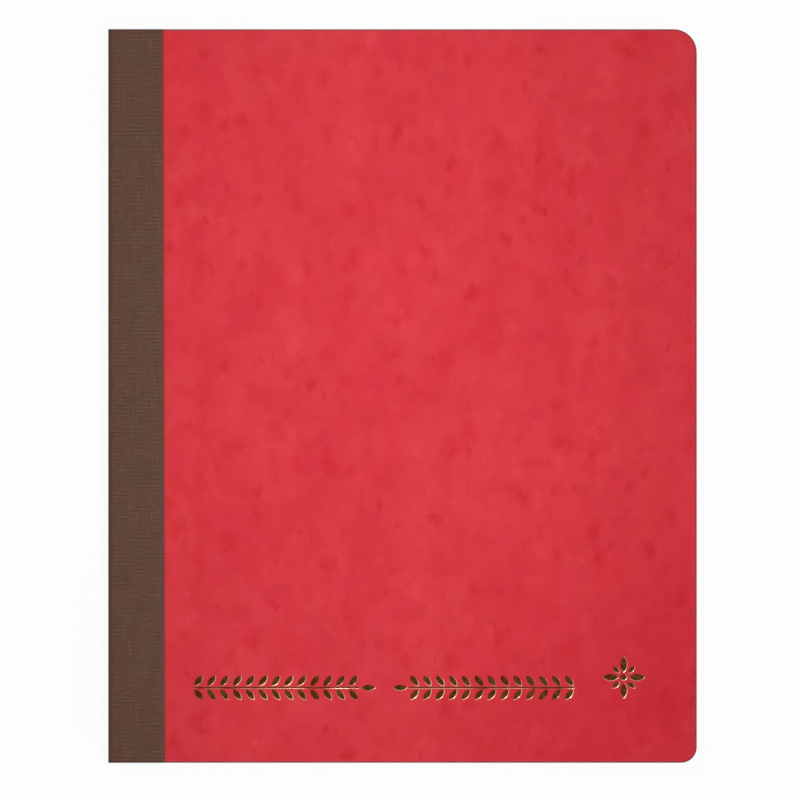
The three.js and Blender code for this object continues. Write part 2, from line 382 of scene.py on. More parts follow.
def pressboard_material():
    """Glazed pressboard, dyed through: soft clouds, dabs without edges, short fibres and pale flecks, with
    painted shade towards two corners and along its edges.
    """
    material, tree, shader = new_material("pressboard", 0.42, Specular_IOR_Level=0.25)
    place = object_place(tree)
    uneven = stretched(tree, place, BOARD_GRAIN)
    for size, reach in BOARD_WAVERS:
        uneven = wavered(tree, uneven, size, reach)
    elsewhere = shifted(tree, uneven, (0.3, 0.1, 0))
    fibres = stretched(tree, shifted(tree, uneven, (0.2, 0.7, 0)), FIBRE_GRAIN)

    hue = fade(tree, cloud(tree, place, 9 * MM), 0.36, 0.64)
    colour = mix(tree, hue, srgb(BOARD_HUES[0]), srgb(BOARD_HUES[1]))
    clouds = fade(tree, cloud(tree, uneven, 11 * MM, detail=3), 0.3, 0.7)
    colour = tint(tree, colour, clouds, 1.0, BOARD_CLOUD)
    smudges = fade(tree, cloud(tree, shifted(tree, uneven, (0.1, 0.5, 0)), 7 * MM), 0.45, 0.7)
    colour = tint(tree, colour, smudges, 0.6, BOARD_SMUDGE)
    for where, spacing, reach, rarity, share, code in (
            (elsewhere, 9 * MM, 4.4 * MM, 1.5, 0.35, BOARD_PALE_DAB),
            (uneven, 9 * MM, 5 * MM, 1.5, 0.55, BOARD_DARK_DAB),
            (elsewhere, 6.5 * MM, 3.4 * MM, 4, 0.65, BOARD_DARK_CORE),
            (fibres, 4.5 * MM, 1.3 * MM, 5, 0.65, BOARD_FIBRE),
            (uneven, 6 * MM, 1.7 * MM, 3, 0.14, BOARD_FLECK)):
        colour = tint(tree, colour, dabs(tree, where, spacing, reach, rarity), share, code)
    broad = fade(tree, cloud(tree, stretched(tree, place, BROAD_GRAIN), 22 * MM), 0.32, 0.68)
    colour = mix(tree, 1.0, colour, mix(tree, broad, *BROAD_SHADES), "MULTIPLY")
    # painted shade: the cover grows darker towards its fore-edge tail corner and its spine head corner
    tail_corner = around(tree, place, (FORE_X, -HALF_HEIGHT), TAIL_SHADE_REACH)
    head_corner = around(tree, place, (SPINE_X, HALF_HEIGHT), HEAD_SHADE_REACH)
    colour = mix(tree, tail_corner, colour, TAIL_CORNER_SHADE, "MULTIPLY")
    colour = mix(tree, head_corner, colour, HEAD_CORNER_SHADE, "MULTIPLY")

    x, y = across_and_up(tree, place)
    past_strip = calc(tree, "SUBTRACT", calc(tree, "SUBTRACT", x, SPINE_X), strip_edge(tree, y))
    colour = tint(tree, colour, near(tree, past_strip, 1.4 * MM), 0.7, BOARD_BESIDE_STRIP)
    edge = board_edge_distance(tree, place)
    worn = calc(tree, "MULTIPLY", fade(tree, edge, 1.5 * MM, 0.8 * MM), cloud(tree, place, 6 * MM, detail=3))
    colour = tint(tree, colour, worn, 0.2, BOARD_WORN)
    # darker colour of the cut edges, and painted shade on the face for 1.3 mm inside them
    colour = tint(tree, colour, near(tree, edge, 1.3 * MM), 0.9, BOARD_EDGE_AND_PAINTED_SHADE)
    tree.links.new(colour, shader.inputs["Base Color"])
    tree.links.new(spread(tree, clouds, 0.41, 0.45), shader.inputs["Roughness"])
    fine_grain = calc(tree, "MULTIPLY", cloud(tree, place, 0.4 * MM), 0.4)
    raise_surface(tree, shader, calc(tree, "ADD", cloud(tree, place, 1.4 * MM), fine_grain), 0.01 * MM)
    return material


def cloth_material():
    """Plain-woven book cloth: fine threads, crosswise ribs that show in patches, and thick stretches, with
    painted shade along its turn round the spine and at its ends.
    """
    material, tree, shader = new_material("book_cloth", 0.85, Specular_IOR_Level=0.2)
    place = sheet_place(tree)
    across, up = across_and_up(tree, place)
    drift = calc(tree, "MULTIPLY", cloud(tree, place, 3.3 * MM), 0.8)
    counts = [calc(tree, "ADD", calc(tree, "DIVIDE", value, THREAD_PITCH), drift) for value in (across, up)]
    cells = [calc(tree, "FLOOR", count) for count in counts]
    shares = [calc(tree, "MULTIPLY", calc(tree, "FRACT", count), math.pi) for count in counts]
    arches = [calc(tree, "SINE", share) for share in shares]
    over = calc(tree, "PINGPONG", calc(tree, "ADD", *cells), 1.0)
    long_thread = calc(tree, "MULTIPLY", arches[0], calc(tree, "POWER", arches[1], THREAD_DIP))
    cross_thread = calc(tree, "MULTIPLY", arches[1], calc(tree, "POWER", arches[0], THREAD_DIP))
    height = add(tree, "Mix", {0: over, 2: long_thread, 3: cross_thread}, data_type="FLOAT").outputs[0]

    hue = fade(tree, cloud(tree, place, 11 * MM, detail=3), 0.38, 0.62)
    colour = mix(tree, hue, srgb(CLOTH_HUES[0]), srgb(CLOTH_HUES[1]))
    rib = calc(tree, "SINE", calc(tree, "MULTIPLY", counts[1], 2 * math.pi / RIB_THREADS))
    patch = fade(tree, cloud(tree, stretched(tree, place, (0.8, 1, 1)), 5 * MM, detail=1), 0.48, 0.62)
    for way, code in ((1, CLOTH_RIB), (-1, CLOTH_FURROW)):
        side = calc(tree, "MAXIMUM", calc(tree, "MULTIPLY", rib, way), 0.0)
        colour = tint(tree, colour, calc(tree, "MULTIPLY", side, patch), 0.42, code)
    for line, along, length in ((cells[1], across, 5 * MM), (cells[0], up, 7 * MM)):
        run = calc(tree, "DIVIDE", along, length)
        row = calc(tree, "MULTIPLY", line, THREAD_NOISE_STEP)
        slub = cloud(tree, add(tree, "CombineXYZ", {0: run, 1: row}).outputs[0], 1.0, detail=1)
        colour = tint(tree, colour, fade(tree, slub, 0.55, 0.78), 0.26, CLOTH_PALE_THREAD)
        colour = tint(tree, colour, fade(tree, slub, 0.42, 0.24), 0.3, CLOTH_DARK_THREAD)
    colour = tint(tree, colour, fade(tree, height, 0.75, 0.1), 0.3, CLOTH_GAP)

    from_middle = calc(tree, "ABSOLUTE", across)
    to_end = calc(tree, "SUBTRACT", HALF_HEIGHT, calc(tree, "ABSOLUTE", up))
    to_turn = calc(tree, "SUBTRACT", from_middle, TOP_Z / 2)
    to_edge = calc(tree, "SUBTRACT", to_turn, strip_edge(tree, up))
    # painted shade at the head and tail ends and along the turn round the spine
    colour = tint(tree, colour, near(tree, to_end, 1.6 * MM), 0.5, CLOTH_PAINTED_SHADE)
    colour = tint(tree, colour, near(tree, to_turn, 2.3 * MM), 0.85, CLOTH_PAINTED_SHADE)
    colour = tint(tree, colour, near(tree, to_edge, 1.2 * MM), 0.55, CLOTH_EDGE)
    tree.links.new(colour, shader.inputs["Base Color"])
    fuzz = calc(tree, "MULTIPLY", cloud(tree, place, 0.2 * MM), 0.3)
    raise_surface(tree, shader, calc(tree, "ADD", height, fuzz), 0.04 * MM)
    return material


def lines_at(tree, value, places, width):
    """1 on each line of a width at the places along a value, 0 between them."""
    covered = 0.0
    for at in places:
        away = calc(tree, "ABSOLUTE", calc(tree, "SUBTRACT", value, at))
        line = fade(tree, away, width * 0.65, width * 0.35)
        covered = calc(tree, "MAXIMUM", line, covered)
    return covered


def paper_colour(tree, place, tone):
    """Uncoated paper's colour and its fibres, which also raise its surface."""
    fibre = fade(tree, cloud(tree, place, 1.1 * MM, 3, 0.65), 0.3, 0.7)
    return tint(tree, srgb(tone), fibre, 0.12, PAPER_FIBRE), fibre


def paper_material(name, tone, ruled):
    """Uncoated paper; ledger leaves are ruled in pale blue with red columns, which the trim hardly shows."""
    material, tree, shader = new_material(name, 0.85, Specular_IOR_Level=0.25)
    place = sheet_place(tree)
    colour, fibre = paper_colour(tree, place, tone)
    colour = tint(tree, colour, cloud(tree, place, 33 * MM), 0.12, PAPER_MOTTLE)
    trimmed = add(tree, "Attribute", attribute_name="cut_edge").outputs["Fac"]
    inked = spread(tree, trimmed, 1.0, 0.25)
    if ruled:
        across, up = across_and_up(tree, place)
        to_rule = calc(tree, "PINGPONG", calc(tree, "SUBTRACT", HEADER_Y, up), RULE_PITCH / 2)
        rules = fade(tree, to_rule, 0.16 * MM, 0.09 * MM)
        for side in (calc(tree, "LESS_THAN", up, HEADER_Y - RULE_PITCH / 2),
                     calc(tree, "GREATER_THAN", up, LAST_RULE_Y - RULE_PITCH / 2)):
            rules = calc(tree, "MULTIPLY", rules, side)
        colour = tint(tree, colour, calc(tree, "MULTIPLY", rules, inked), 0.75, RULE_BLUE)
        upright = lines_at(tree, across, COLUMNS, COLUMN_WIDTH)
        heading = lines_at(tree, up, HEADINGS, COLUMN_WIDTH)
        red = calc(tree, "MAXIMUM", upright, heading)
        colour = tint(tree, colour, calc(tree, "MULTIPLY", red, inked), 0.7, COLUMN_RED)
    colour = tint(tree, colour, trimmed, 0.6, PAPER_TRIMMED)
    tree.links.new(colour, shader.inputs["Base Color"])
    raise_surface(tree, shader, fibre, 0.01 * MM)
    return material


def pasted_paper_material():
    """The endpaper where it is pasted on a board, read by the board's own coordinates."""
    material, tree, shader = new_material("pasted_endpaper", 0.85, Specular_IOR_Level=0.25)
    place = object_place(tree)
    colour, fibre = paper_colour(tree, place, ENDPAPER)
    tree.links.new(colour, shader.inputs["Base Color"])
    ripple = cloud(tree, stretched(tree, place, (1.0, 0.25, 1.0)), 7 * MM)
    raise_surface(tree, shader, calc(tree, "ADD", ripple, calc(tree, "MULTIPLY", fibre, 0.2)), 0.05 * MM)
    return material


def gauze_material():
    """Open starched gauze, with its glue showing in the gaps."""
    material, tree, shader = new_material("mull_gauze", 0.9)
    split = add(tree, "SeparateXYZ", {0: object_place(tree)})
    threads = [calc(tree, "PINGPONG", split.outputs[axis], GAUZE_PITCH / 2) for axis in (1, 2)]
    gap = fade(tree, calc(tree, "MINIMUM", *threads), 0.12 * MM, 0.2 * MM)
    colour = mix(tree, gap, srgb(GAUZE_THREAD), srgb(GAUZE_GLUE))
    tree.links.new(colour, shader.inputs["Base Color"])
    raise_surface(tree, shader, calc(tree, "SUBTRACT", 1.0, gap), 0.06 * MM)
    return material


def thread_material():
    """Waxed linen thread: fine slanting plies."""
    material, tree, shader = new_material("sewing_linen", 0.6)
    split = add(tree, "SeparateXYZ", {0: object_place(tree)})
    slant = calc(tree, "ADD", split.outputs[1], calc(tree, "ADD", split.outputs[0], split.outputs[2]))
    crest = fade(tree, calc(tree, "PINGPONG", slant, PLY_PITCH / 2), 0.0, 0.05 * MM)
    colour = mix(tree, crest, srgb(LINEN_FURROW), srgb(LINEN_CREST))
    tree.links.new(colour, shader.inputs["Base Color"])
    raise_surface(tree, shader, crest, 0.02 * MM)
    return material


def foil_material():
    """Dark bronze blocking foil, a little uneven, with a painted glint of pale gold on its struck rims."""
    constants = {"Metallic": 1.0, "Specular_Tint": srgb(FOIL_AT_A_SLANT)}
    material, tree, shader = new_material("bronze_foil", 0.22, **constants)
    place = object_place(tree)
    uneven = fade(tree, cloud(tree, place, 2 * MM, detail=3), 0.35, 0.65)
    colour = mix(tree, uneven, srgb(FOIL_HUES[0]), srgb(FOIL_HUES[1]))
    rim = add(tree, "Attribute", attribute_name="struck_rim").outputs["Fac"]
    # painted glint: pale gold laid on the sloping rims, broadest at the lower right, in uneven patches
    painted_glint = calc(tree, "MULTIPLY", rim, fade(tree, cloud(tree, place, 14 * MM, detail=3), 0.3, 0.6))
    colour = tint(tree, colour, painted_glint, 0.95, FOIL_PAINTED_GLINT)
    tree.links.new(colour, shader.inputs["Base Color"])
    tree.links.new(spread(tree, uneven, 0.18, 0.3), shader.inputs["Roughness"])
    raise_surface(tree, shader, cloud(tree, place, 0.6 * MM), 0.008 * MM)
    return material


# Meshes

def new_piece(name, vertices, faces, material, cut_faces=None, places=None):
    """A closed smooth piece. cut_faces says which faces are trimmed edges; places are the points' places on
    the sheet."""
    mesh = bpy.data.meshes.new(name)
    mesh.from_pydata(vertices, [], faces)
    if cut_faces:
        layer = mesh.attributes.new("cut_edge", "FLOAT", "FACE")
        layer.data.foreach_set("value", [float(index in cut_faces) for index in range(len(faces))])
    if places:
        layer = mesh.attributes.new("sheet_place", "FLOAT_VECTOR", "POINT")
        layer.data.foreach_set("vector", [value for place in places for value in place])
    work = bmesh.new()
    work.from_mesh(mesh)
    bmesh.ops.recalc_face_normals(work, faces=work.faces)
    work.to_mesh(mesh)
    work.free()
    mesh.polygons.foreach_set("use_smooth", [True] * len(mesh.polygons))
    mesh.set_sharp_from_angle(angle=SHARP_ANGLE)
    mesh.materials.append(material)
    piece = bpy.data.objects.new(name, mesh)
    bpy.context.scene.collection.objects.link(piece)
    return piece


def sheet_piece(name, outer, inner, ends, rows, along, material, edge_shift=None):
    """A thin closed sheet. outer and inner are its two faces' lines across the spine, in x and z; ends are
    its tail and head at each of their points, rows the shares of the way between them, and along the
    points' distances over the sheet."""
    vertices = []
    places = []
    for row in rows:
        for face_points, (tail, head), distance in zip(zip(outer, inner), ends, along):
            for x, z in face_points:
                y = tail + (head - tail) * row
                shift = edge_shift(y, distance) if edge_shift else 0.0
                vertices.append((x + shift, y, z))
                places.append((distance, y, 0.0))
    count = len(outer)

    def at(row, point, side):
        return (row * count + point) * 2 + side

    faces = []
    cut_faces = set()
    for row in range(len(rows) - 1):
        for point in range(count - 1):
            for side in (0, 1):
                faces.append((at(row, point, side), at(row, point + 1, side),
                              at(row + 1, point + 1, side), at(row + 1, point, side)))
        for point in (0, count - 1):
            cut_faces.add(len(faces))
            faces.append((at(row, point, 0), at(row, point, 1), at(row + 1, point, 1), at(row + 1, point, 0)))
    for row in (0, len(rows) - 1):
        for point in range(count - 1):
            cut_faces.add(len(faces))
            faces.append((at(row, point, 0), at(row, point + 1, 0), at(row, point + 1, 1), at(row, point, 1)))
    return new_piece(name, vertices, faces, material, cut_faces, places)


def steps(start, end, count):
    """count places after start, evenly spaced, the last at end."""
    return [start + (end - start) * (i + 1) / count for i in range(count)]


def smooth(share):
    return share * share * (3 - 2 * share)


def end_height(distance, radius, trim):
    """Height over the middle of a sheet's end at a distance from the spine, less in its rounded corner."""
    into_corner = max(0.0, SPINE_X + distance - (FORE_X - radius))
    return HALF_HEIGHT - radius + math.sqrt(max(0.0, (radius - trim) ** 2 - into_corner ** 2))


def sheet_ends(distances, trim):
    """The tail and head of a sheet at each distance from the spine."""
    tails = [-end_height(d, TAIL_CORNER_RADIUS, trim) for d in distances]
    heads = [end_height(d, HEAD_CORNER_RADIUS, trim) for d in distances]
    return list(zip(tails, heads))


def fore_distances(trim):
    """Distances from the spine along the flat of a leaf and round its corners to the trimmed fore-edge."""
    fore = FORE_X - SPINE_X
    places = set(steps(BEND_END, fore - HEAD_CORNER_RADIUS, FLAT_LEAF_STEPS))
    for radius in (HEAD_CORNER_RADIUS, TAIL_CORNER_RADIUS):
        for step in range(1, CORNER_STEPS):
            places.add(fore - radius + (radius - trim) * math.sin(math.pi / 2 * step / CORNER_STEPS))
    return sorted(places) + [fore - trim]


def section_middle(section):
    low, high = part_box(f"section_{section}_fold")
    return (low.z + high.z) / 2


def folded_leaf(number, material, trim):
    """One leaf from the back of its section's fold, round the thread, out to the fore-edge."""
    low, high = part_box(f"leaf_{number:02d}")
    section = (number - 1) // LEAVES_PER_SECTION + 1
    middle = section_middle(section)
    position = (number - 1) % LEAVES_PER_SECTION
    sheet = min(position, LEAVES_PER_SECTION - 1 - position)
    side = 1 if position < SHEETS_PER_SECTION else -1
    flat = abs((low.z + high.z) / 2 - middle)
    tight = THREAD_WRAP + (SHEETS_PER_SECTION - sheet - 0.5) * SHEET_THICKNESS
    centre = FOLD_BACK + WRAP_CENTRE
    reach = WRAP_CENTRE - (sheet + 0.5) * SHEET_THICKNESS
    gutter = steps(centre + NIP_LENGTH, BEND_END, BEND_STEPS)
    in_fold = SHEET_FIT * SHEET_THICKNESS / 2
    lines = []
    for face in (1, -1):
        line = []
        for step in range(WRAP_STEPS + 1):
            angle = math.pi / 2 * step / WRAP_STEPS
            line.append((centre - (reach + face * in_fold) * math.cos(angle),
                         (tight + face * in_fold) * math.sin(angle)))
        for share in steps(0.0, 1.0, NIP_STEPS):
            offset = in_fold + (LEAF_DRAWN / 2 - in_fold) * smooth(share)
            line.append((centre + NIP_LENGTH * share, tight + (flat - tight) * smooth(share) + face * offset))
        for distance in gutter + fore_distances(trim):
            line.append((distance, flat + face * LEAF_DRAWN / 2))
        lines.append(line)
    outer, inner = ([(SPINE_X + d, middle + side * h) for d, h in line] for line in lines)
    distances = [d for d, h in lines[0]]
    ends = sheet_ends(distances, trim)
    piece = sheet_piece(f"page_{number:02d}", outer, inner, ends, (0, 1), distances, material)
    replaced = [f"leaf_{number:02d}"]
    if position == 0:
        replaced.append(f"section_{section}_fold")
    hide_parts(*replaced)
    return piece


def make_leaves():
    ruled = paper_material("ledger_paper", LEDGER_PAPER, ruled=True)
    scatter = random.Random(11)
    for number in range(1, LEAF_COUNT + 1):
        piece = folded_leaf(number, ruled, scatter.uniform(0, TRIM_SCATTER))
        if number in FRONT_LEAVES:
            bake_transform(piece)
        elif number in FAN_LEAVES:
            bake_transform(piece)
        else:
            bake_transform(piece)


def make_flyleaf(node, material):
    low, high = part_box(node)
    distances = [FOLD_BACK] + steps(BEND_START, BEND_END, BEND_STEPS) + fore_distances(0.0)
    outer = [(SPINE_X + d, high.z) for d in distances]
    inner = [(SPINE_X + d, low.z) for d in distances]
    ends = sheet_ends(distances, 0.0)
    piece = sheet_piece(f"{node}_sheet", outer, inner, ends, (0, 1), distances, material)
    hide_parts(node)
    return piece


def bend_over(piece, side):
    """Writes the place of a piece between the leaves and a cover into its mesh; the front and the back are
    treated alike."""
    if side == "front":
        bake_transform(piece)
    else:
        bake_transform(piece)


def make_endpaper_fold(side, material):
    """The fold that joins a flyleaf to the endpaper pasted on its board."""
    fly = [corner.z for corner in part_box(f"{side}_flyleaf")]
    paste = [corner.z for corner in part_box(f"{side}_pastedown")]
    if side == "front":
        fly_out, fly_in, paste_in, paste_out = fly[0], fly[1], paste[0], paste[1]
    else:
        fly_out, fly_in, paste_in, paste_out = fly[1], fly[0], paste[1], paste[0]
    thickness = abs(fly_in - fly_out)
    out = ENDPAPER_FOLD_OUT
    inside = out + thickness
    wall = [fly_in] + steps(fly_in, paste_in, ENDPAPER_FOLD_STEPS)
    outer = [(FOLD_BACK, fly_out), (out + thickness / 4, fly_out)]
    outer += [(out, z) for z in wall] + [(out + thickness / 4, paste_out), (FOLD_BACK, paste_out)]
    inner = [(FOLD_BACK, fly_in), (inside + thickness / 4, fly_in)]
    inner += [(inside, z) for z in wall] + [(inside + thickness / 4, paste_in), (FOLD_BACK, paste_in)]
    outer, inner = ([(SPINE_X + d, z) for d, z in line] for line in (outer, inner))
    along = [thickness * i for i in range(len(outer))]
    ends = [(-HALF_HEIGHT, HALF_HEIGHT)] * len(outer)
    piece = sheet_piece(f"{side}_endpaper_fold", outer, inner, ends, (0, 1), along, material)
    bend_over(piece, side)


def make_endpapers():
    paper = paper_material("endpaper", ENDPAPER, ruled=False)
    pasted = pasted_paper_material()
    front = make_flyleaf("front_flyleaf", paper)
    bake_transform(front)
    back = make_flyleaf("back_flyleaf", paper)
    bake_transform(back)
    for side in ("front", "back"):
        make_endpaper_fold(side, paper)
        dress(f"{side}_pastedown", pasted)


def dress(node, material):
    """Gives a CAD node that stays as it is its material."""
    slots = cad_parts[node].data.materials
    slots.clear()
    slots.append(material)


# Cloth strip

def cloth_edge(y):
    """Distance from the spine to the strip's edge, before its small irregularities."""
    return CLOTH_REACH - CLOTH_EDGE_SLANT * y / HALF_HEIGHT


def edge_shift(y, distance):
    """Moves the end of a flap to the strip's slanting, slightly uneven edge."""
    over_flap = abs(distance) - TOP_Z / 2 - BOARD_START
    share = max(0.0, over_flap / (CLOTH_REACH - BOARD_START))
    uneven = noise.noise(Vector((y / CLOTH_WOBBLE_SIZE, math.copysign(3.0, distance), 0.0)))
    fine = noise.noise(Vector((y / CLOTH_FRAY_SIZE, math.copysign(8.0, distance), 0.0)))
    wobble = CLOTH_EDGE_WOBBLE * (0.6 * uneven + 0.4 * fine - 1.0)
    return share ** 4 * (cloth_edge(y) - CLOTH_REACH + wobble)


def make_cloth(material):
    rows = [i / CLOTH_ROWS for i in range(CLOTH_ROWS + 1)]
    for front in (True, False):
        side = "front" if front else "back"

        def placed(line):
            return [(SPINE_X + d, TOP_Z - depth if front else depth) for d, depth in line]

        def run(line):
            return [(d + TOP_Z / 2) * (1 if front else -1) for d in line]

        bends = [CLOTH_CORNER] + steps(CLOTH_CORNER, FLAP_BEND_END, FLAP_BEND_STEPS)
        flats = bends + steps(FLAP_BEND_END, CLOTH_REACH - CLOTH_EDGE_ROUND, FLAT_STEPS)
        rounded = []
        for step in range(1, ROUND_STEPS + 1):
            angle = math.pi / 2 * step / ROUND_STEPS
            rounded.append((CLOTH_REACH - CLOTH_EDGE_ROUND * (1 - math.sin(angle)),
                            CLOTH_EDGE_ROUND * (1 - math.cos(angle))))
        outer = placed([(d, 0.0) for d in flats] + rounded)
        inner = placed([(d, CLOTH_THICKNESS) for d in flats] + [(d, CLOTH_THICKNESS) for d, depth in rounded])
        along = run(flats + [d for d, depth in rounded])
        ends = [(-HALF_HEIGHT, HALF_HEIGHT)] * len(outer)
        flap = sheet_piece(f"{side}_cloth", outer, inner, ends, rows, along, material, edge_shift)
        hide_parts(f"cloth_{side}_flap")
        bend_over(flap, side)

        corner = []
        for step in range(CLOTH_CORNER_STEPS + 1):
            angle = math.pi / 2 * step / CLOTH_CORNER_STEPS
            corner.append((math.cos(angle), math.sin(angle)))
        depths = [TOP_Z / 2 - (TOP_Z / 2 - CLOTH_CORNER) * i / SPINE_STEPS for i in range(SPINE_STEPS)]
        outer_line = [(0.0, depth) for depth in depths]
        inner_line = [(CLOTH_THICKNESS, depth) for depth in depths]
        for radius, line in ((CLOTH_CORNER, outer_line), (CLOTH_CORNER - CLOTH_THICKNESS, inner_line)):
            line += [(CLOTH_CORNER - radius * c, CLOTH_CORNER - radius * s) for c, s in corner]
        along = [(TOP_Z / 2 - depth) * (1 if front else -1) for depth in depths]
        arc = math.pi / 2 * CLOTH_CORNER
        along += [(TOP_Z / 2 - CLOTH_CORNER + arc * i / CLOTH_CORNER_STEPS) * (1 if front else -1)
                  for i in range(CLOTH_CORNER_STEPS + 1)]
        ends = [(-HALF_HEIGHT, HALF_HEIGHT)] * len(outer_line)
        back = sheet_piece(f"spine_cloth_{side}", placed(outer_line), placed(inner_line), ends, rows, along,
                           material)
        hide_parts("cloth_spine")
        if front:
            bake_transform(back)
        else:
            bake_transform(back)


# Foil shapes: each is a function that gives its outline, drawn in by an inset, and its narrowest half width

def petal(centre, direction, length, width):
    radius = (length ** 2 + width ** 2) / (4 * width)
    axis_to_centre = radius - width / 2
    along = Vector(direction).normalized()
    across = Vector((-along.y, along.x))

    def outline(inset):
        drawn = radius - inset
        half_angle = math.acos(min(1.0, axis_to_centre / drawn))
        points = []
        for side in (1, -1):
            for step in range(ARC_STEPS):
                angle = half_angle * (1 - 2 * step / ARC_STEPS)
                out = drawn * math.cos(angle) - axis_to_centre
                points.append(Vector(centre) + side * (along * drawn * math.sin(angle) + across * out))
        return points

    return outline, width / 2


def disc(centre, radius):
    def outline(inset):
        angles = [2 * math.pi * i / (2 * ARC_STEPS) for i in range(2 * ARC_STEPS)]
        return [Vector(centre) + (radius - inset) * Vector((math.cos(a), math.sin(a))) for a in angles]

    return outline, radius


def bar(start, end, width):
    along = (Vector(end) - Vector(start)).normalized()
    across = Vector((-along.y, along.x))

    def outline(inset):
        half = width / 2 - inset
        first = Vector(start) + along * inset
        last = Vector(end) - along * inset
        return [first - across * half, last - across * half, last + across * half, first + across * half]

    return outline, width / 2


def on_cover(distance, height):
    return Vector((SPINE_X + distance, -HALF_HEIGHT + height))


def sprig(start, end):
    """A stem with pairs of slanting petals, and one at its tip."""
    way = math.copysign(1.0, end - start)
    length = abs(end - start)
    stem_end = length - TIP_LENGTH - PETAL_GAP
    shapes = [bar(on_cover(start, SPRIG_MIDDLE), on_cover(start + way * stem_end, SPRIG_MIDDLE), STEM_WIDTH)]
    tip_middle = on_cover(end - way * TIP_LENGTH / 2, SPRIG_MIDDLE)
    shapes.append(petal(tip_middle, (way, 0), TIP_LENGTH, PETAL_WIDTH))
    pairs = int((stem_end - PETAL_LENGTH * math.cos(PETAL_ANGLE)) / PETAL_PITCH) + 1
    for pair in range(pairs):
        for side in (1, -1):
            direction = Vector((way * math.cos(PETAL_ANGLE), side * math.sin(PETAL_ANGLE)))
            foot = on_cover(start + way * (pair * PETAL_PITCH + PETAL_GAP), SPRIG_MIDDLE)
            foot.y += side * (STEM_WIDTH / 2 + PETAL_GAP)
            shapes.append(petal(foot + direction * PETAL_LENGTH / 2, direction, PETAL_LENGTH, PETAL_WIDTH))
    return shapes


def rosette():
    """Four long and four short petals round an eye."""
    centre = on_cover(*ROSETTE_CENTRE)
    shapes = [disc(centre, ROSETTE_EYE)]
    for step in range(8):
        angle = math.pi / 4 * step
        direction = Vector((math.cos(angle), math.sin(angle)))
        gap, reach, width = LONG_PETALS if step % 2 == 0 else SHORT_PETALS
        inner = ROSETTE_EYE + gap
        outer = ROSETTE_RADIUS * reach
        shapes.append(petal(centre + direction * (inner + outer) / 2, direction, outer - inner, width))
    return shapes


def foil_piece(name, shapes, face_z, material):
    """Each shape is a small inlay, with a sloping rim round a flat that is sunk into the board's face."""
    vertices = []
    faces = []
    rim_shares = []
    lean = Vector(FOIL_LEAN)
    for outline, half_width in shapes:
        size = min(1.0, half_width / (3 * FOIL_RIM))
        rings = [(0.0, -FOIL_DEPTH, 0.0)]
        for step in range(FOIL_RIM_STEPS + 1):
            share = step / FOIL_RIM_STEPS
            rings.append((share, -FOIL_RIM_DROP * size * math.sin(share * math.pi / 2), 1.0 - share ** 4))
        first = len(vertices)
        count = len(outline(0.0))
        for share, level, rim_share in rings:
            for point in outline(RECESS_CLEARANCE + FOIL_RIM * size * share):
                place = point + lean * size * share
                vertices.append((place.x, place.y, face_z + level))
                rim_shares.append(rim_share)
        for ring in range(len(rings) - 1):
            low = first + ring * count
            for i in range(count):
                j = (i + 1) % count
                faces.append((low + i, low + j, low + count + j, low + count + i))
        faces.append(tuple(first + i for i in reversed(range(count))))
        faces.append(tuple(first + (len(rings) - 1) * count + i for i in range(count)))
    piece = new_piece(name, vertices, faces, material)
    # the rim share also sets where the foil's material paints its glint
    layer = piece.data.attributes.new("struck_rim", "FLOAT", "POINT")
    layer.data.foreach_set("value", rim_shares)
    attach(piece, "front_cover")
    return piece


# Boards

def board_outline(inset):
    """A board's outline from the spine, along the tail, round the fore-edge and back along the head. The
    points on either side of the step under the cloth strip's edge are second and third from each end."""
    tail_y = -HALF_HEIGHT + inset
    start_x = SPINE_X + BOARD_START + inset
    low_x = SPINE_X + cloth_edge(-HALF_HEIGHT)
    head_low_x = SPINE_X + cloth_edge(HALF_HEIGHT)
    points = [(start_x, tail_y), (low_x, tail_y), (low_x + SEAT_CLEARANCE, tail_y)]
    for way, radius in ((-1, TAIL_CORNER_RADIUS), (1, HEAD_CORNER_RADIUS)):
        centre = (FORE_X - radius, way * (HALF_HEIGHT - radius))
        for step in range(CORNER_STEPS + 1):
            angle = math.pi / 2 * (step / CORNER_STEPS - (1 if way < 0 else 0))
            points.append((centre[0] + (radius - inset) * math.cos(angle),
                           centre[1] + (radius - inset) * math.sin(angle)))
    points += [(head_low_x + SEAT_CLEARANCE, -tail_y), (head_low_x, -tail_y), (start_x, -tail_y)]
    return points


def board_profile():
    """Insets and heights over a board's inner face, up its rounded edge and a little way over its face."""
    profile = []
    for step in range(ROUND_STEPS + 1):
        angle = math.pi / 2 * step / ROUND_STEPS
        radius = BOARD_BACK_ROUND
        profile.append((radius * (1 - math.sin(angle)), radius * (1 - math.cos(angle))))
    for step in range(ROUND_STEPS + 1):
        angle = math.pi / 2 * step / ROUND_STEPS
        radius = BOARD_FACE_ROUND
        profile.append((radius * (1 - math.cos(angle)), BOARD_THICKNESS - radius * (1 - math.sin(angle))))
    profile.append((BOARD_FACE_ROUND + FLAT_RING, BOARD_THICKNESS))
    return profile


def inside(point, polygon):
    """Whether a point lies in a convex polygon."""
    turns = []
    for a, b in zip(polygon, polygon[1:] + polygon[:1]):
        turns.append((b[0] - a[0]) * (point[1] - a[1]) - (b[1] - a[1]) * (point[0] - a[0]))
    return all(turn > 0 for turn in turns) or all(turn < 0 for turn in turns)


